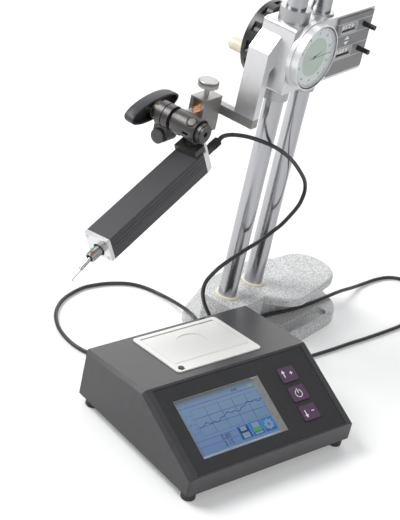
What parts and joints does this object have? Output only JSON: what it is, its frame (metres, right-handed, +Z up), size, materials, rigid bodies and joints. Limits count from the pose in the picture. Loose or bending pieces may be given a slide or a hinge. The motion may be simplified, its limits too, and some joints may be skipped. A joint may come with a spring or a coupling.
{
  "type": "surface roughness tester",
  "caption": "Display console with strip printer beside a two-column height gauge whose arm holds a motor drive unit with a stylus pickup on a ball swivel, joined to the console by a cable.",
  "frame": {"origin": "on the table under the gauge's base, midway between its two columns", "axes": "+Z up along the columns; +X from the measuring jaw toward the rear of the base; +Y to the handwheel's side"},
  "size_m": [0.518, 0.3357, 0.455],
  "materials": {
    "console_grey": "fine grain",
    "feet_rubber": "matt",
    "panel_dark": "fine grain",
    "bevel_silver": "satin",
    "display_blue": "lit display",
    "key_purple": "satin",
    "printer_white": "satin",
    "platen_rubber": "matt",
    "paper": "thermal paper",
    "black_plastic": "satin",
    "circuit_board": "solder mask",
    "battery_film": "shrink film",
    "steel": "turned",
    "cable_black": "satin sheath",
    "drive_black": "black anodised",
    "plate_silver": "satin anodised",
    "swivel_dark": "black-browned",
    "clamp_steel": "stainless",
    "copper_pad": "copper",
    "base_enamel": "light grey hammered enamel",
    "column_chrome": "hard chrome",
    "ring_cream": "satin",
    "carriage_silver": "satin chrome",
    "dial_white": "matt",
    "dial_clear": "clear",
    "pointer_black": "matt",
    "counter_grey": "matt",
    "handle_ivory": "turned"
  },
  "bodies": {
    "base": {"console_base": "console_grey", "console_cover": "console_grey", "console_feet": "feet_rubber", "cover_screws": "steel", "front_panel": "panel_dark", "lcd_frame": "bevel_silver", "lcd_module": "display_blue", "key_board": "circuit_board", "printer_frame": "printer_white", "paper_roll": "paper", "main_board": "circuit_board", "battery_pack": "battery_film", "rear_socket": "steel", "console_plug": "black_plastic", "cable_table": "cable_black", "cable_hanging": "cable_black", "stand_base": "base_enamel", "columns": "column_chrome", "column_rings": "ring_cream", "top_bridge": "carriage_silver"},
    "up_key": {"key_up": "key_purple"},
    "start_key": {"key_start": "key_purple"},
    "enter_key": {"key_enter": "key_purple"},
    "feed": {"feed_button": "black_plastic"},
    "door": {"printer_door": "printer_white"},
    "platen": {"platen_roller": "platen_rubber"},
    "carriage": {"carriage_body": "carriage_silver", "carriage_bushes": "carriage_silver", "jaw_arm": "carriage_silver", "jaw_bar": "clamp_steel", "counter_panel": "counter_grey", "counter_drums": "dial_white", "clamp_block": "clamp_steel", "clamp_pad": "copper_pad"},
    "wheel": {"handwheel": "black_plastic"},
    "crank": {"crank_handle": "handle_ivory"},
    "bezel": {"dial_bezel": "carriage_silver", "dial_face": "dial_white", "dial_glass": "dial_clear"},
    "pointer": {"dial_pointer": "pointer_black"},
    "upper_pin": {"reset_pin_upper": "black_plastic"},
    "lower_pin": {"reset_pin_lower": "black_plastic"},
    "thumbscrew": {"clamp_thumbscrew": "steel"},
    "swivel": {"swivel_barrel": "swivel_dark", "barrel_cap": "swivel_dark", "swivel_collar": "swivel_dark"},
    "knob": {"lock_knob": "black_plastic"},
    "ball": {"swivel_ball": "steel"},
    "drive": {"swivel_saddle": "swivel_dark", "drive_housing": "drive_black", "drive_front_plate": "plate_silver", "drive_rear_plate": "plate_silver", "plate_screws": "steel", "drive_motor": "steel", "guide_rods": "steel", "drive_plug": "black_plastic"},
    "screw": {"lead_screw": "steel"},
    "traverse": {"slide_block": "plate_silver", "pickup_sleeve": "steel"},
    "stylus": {"stylus_arm": "steel"}
  },
  "joints": [
    {"name": "key_up_press", "type": "slide", "parent": "base", "child": "up_key", "axis": [0.0965, 0.4249, -0.9001], "range_m": [0, 0.0008], "stiffness_N_per_m": 400},
    {"name": "key_start_press", "type": "slide", "parent": "base", "child": "start_key", "axis": [0.0965, 0.4249, -0.9001], "range_m": [0, 0.0008], "stiffness_N_per_m": 400},
    {"name": "key_enter_press", "type": "slide", "parent": "base", "child": "enter_key", "axis": [0.0965, 0.4249, -0.9001], "range_m": [0, 0.0008], "stiffness_N_per_m": 400},
    {"name": "feed_press", "type": "slide", "parent": "base", "child": "feed", "axis": [-0.0272, -0.1196, -0.9925], "range_m": [0, 0.0008], "stiffness_N_per_m": 400},
    {"name": "door_swing", "type": "hinge", "parent": "base", "child": "door", "pos_m": [-0.14223, -0.06788, 0.06317], "axis": [0.9751, -0.2215, 0], "range_deg": [0, 80]},
    {"name": "platen_spin", "type": "hinge", "parent": "door", "child": "platen", "pos_m": [-0.13262, -0.02557, 0.05227], "axis": [0.9751, -0.2215, 0], "continuous": true},
    {"name": "carriage_slide", "type": "slide", "parent": "base", "child": "carriage", "axis": [0, 0, 1], "range_m": [-0.08, 0.06], "deforming": ["cable_hanging"]},
    {"name": "wheel_turn", "type": "hinge", "parent": "carriage", "child": "wheel", "pos_m": [0, 0.03, 0.3133], "axis": [0, 1, 0], "continuous": true},
    {"name": "crank_spin", "type": "hinge", "parent": "wheel", "child": "crank", "pos_m": [-0.02443, 0.045, 0.30441], "axis": [0, 1, 0], "continuous": true},
    {"name": "bezel_turn", "type": "hinge", "parent": "carriage", "child": "bezel", "pos_m": [-0.013, -0.02, 0.3213], "axis": [0, 1, 0], "range_deg": [-180, 180]},
    {"name": "pointer_turn", "type": "hinge", "parent": "carriage", "child": "pointer", "pos_m": [-0.013, -0.02, 0.3213], "axis": [0, 1, 0], "continuous": true},
    {"name": "upper_pin_press", "type": "slide", "parent": "carriage", "child": "upper_pin", "axis": [0, 1, 0], "range_m": [0, 0.004], "stiffness_N_per_m": 250},
    {"name": "lower_pin_press", "type": "slide", "parent": "carriage", "child": "lower_pin", "axis": [0, 1, 0], "range_m": [0, 0.004], "stiffness_N_per_m": 250},
    {"name": "thumbscrew_turn", "type": "hinge", "parent": "carriage", "child": "thumbscrew", "pos_m": [-0.07225, 0.0435, 0.27], "axis": [0, 0, 1], "range_deg": [0, 360]},
    {"name": "shank_slide", "type": "slide", "parent": "carriage", "child": "swivel", "axis": [1, 0, 0], "range_m": [-0.01, 0.005], "deforming": ["cable_hanging"]},
    {"name": "knob_turn", "type": "hinge", "parent": "swivel", "child": "knob", "pos_m": [-0.1065, 0.075, 0.2473], "axis": [0, 1, 0], "range_deg": [-90, 180]},
    {"name": "ball_tilt", "type": "hinge", "parent": "swivel", "child": "ball", "pos_m": [-0.1065, 0.032, 0.2473], "axis": [0, 1, 0], "range_deg": [-15, 40], "deforming": ["cable_hanging"]},
    {"name": "drive_pan", "type": "hinge", "parent": "ball", "child": "drive", "pos_m": [-0.1065, 0.032, 0.2473], "axis": [-0.4095, 0.1323, 0.9027], "range_deg": [-25, 0], "deforming": ["cable_hanging"]},
    {"name": "traverse_slide", "type": "slide", "parent": "drive", "child": "traverse", "axis": [0.9107, 0, 0.4131], "range_m": [-0.005, 0.011]},
    {"name": "screw_turn", "type": "hinge", "parent": "drive", "child": "screw", "pos_m": [-0.14783, 0.0277, 0.19318], "axis": [0.9107, 0, 0.4131], "continuous": true},
    {"name": "stylus_swing", "type": "hinge", "parent": "traverse", "child": "stylus", "pos_m": [-0.22282, 0.02662, 0.15029], "axis": [0.0546, 0.9912, -0.1204], "range_deg": [-4, 6], "stiffness_Nm_per_rad": 0.03}
  ],
  "couplings": [
    {"joint": "wheel_turn", "follows": "carriage_slide", "rad_per_m": 76.923},
    {"joint": "pointer_turn", "follows": "carriage_slide", "rad_per_m": 6283.2},
    {"joint": "screw_turn", "follows": "traverse_slide", "rad_per_m": 3141.6}
  ]
}
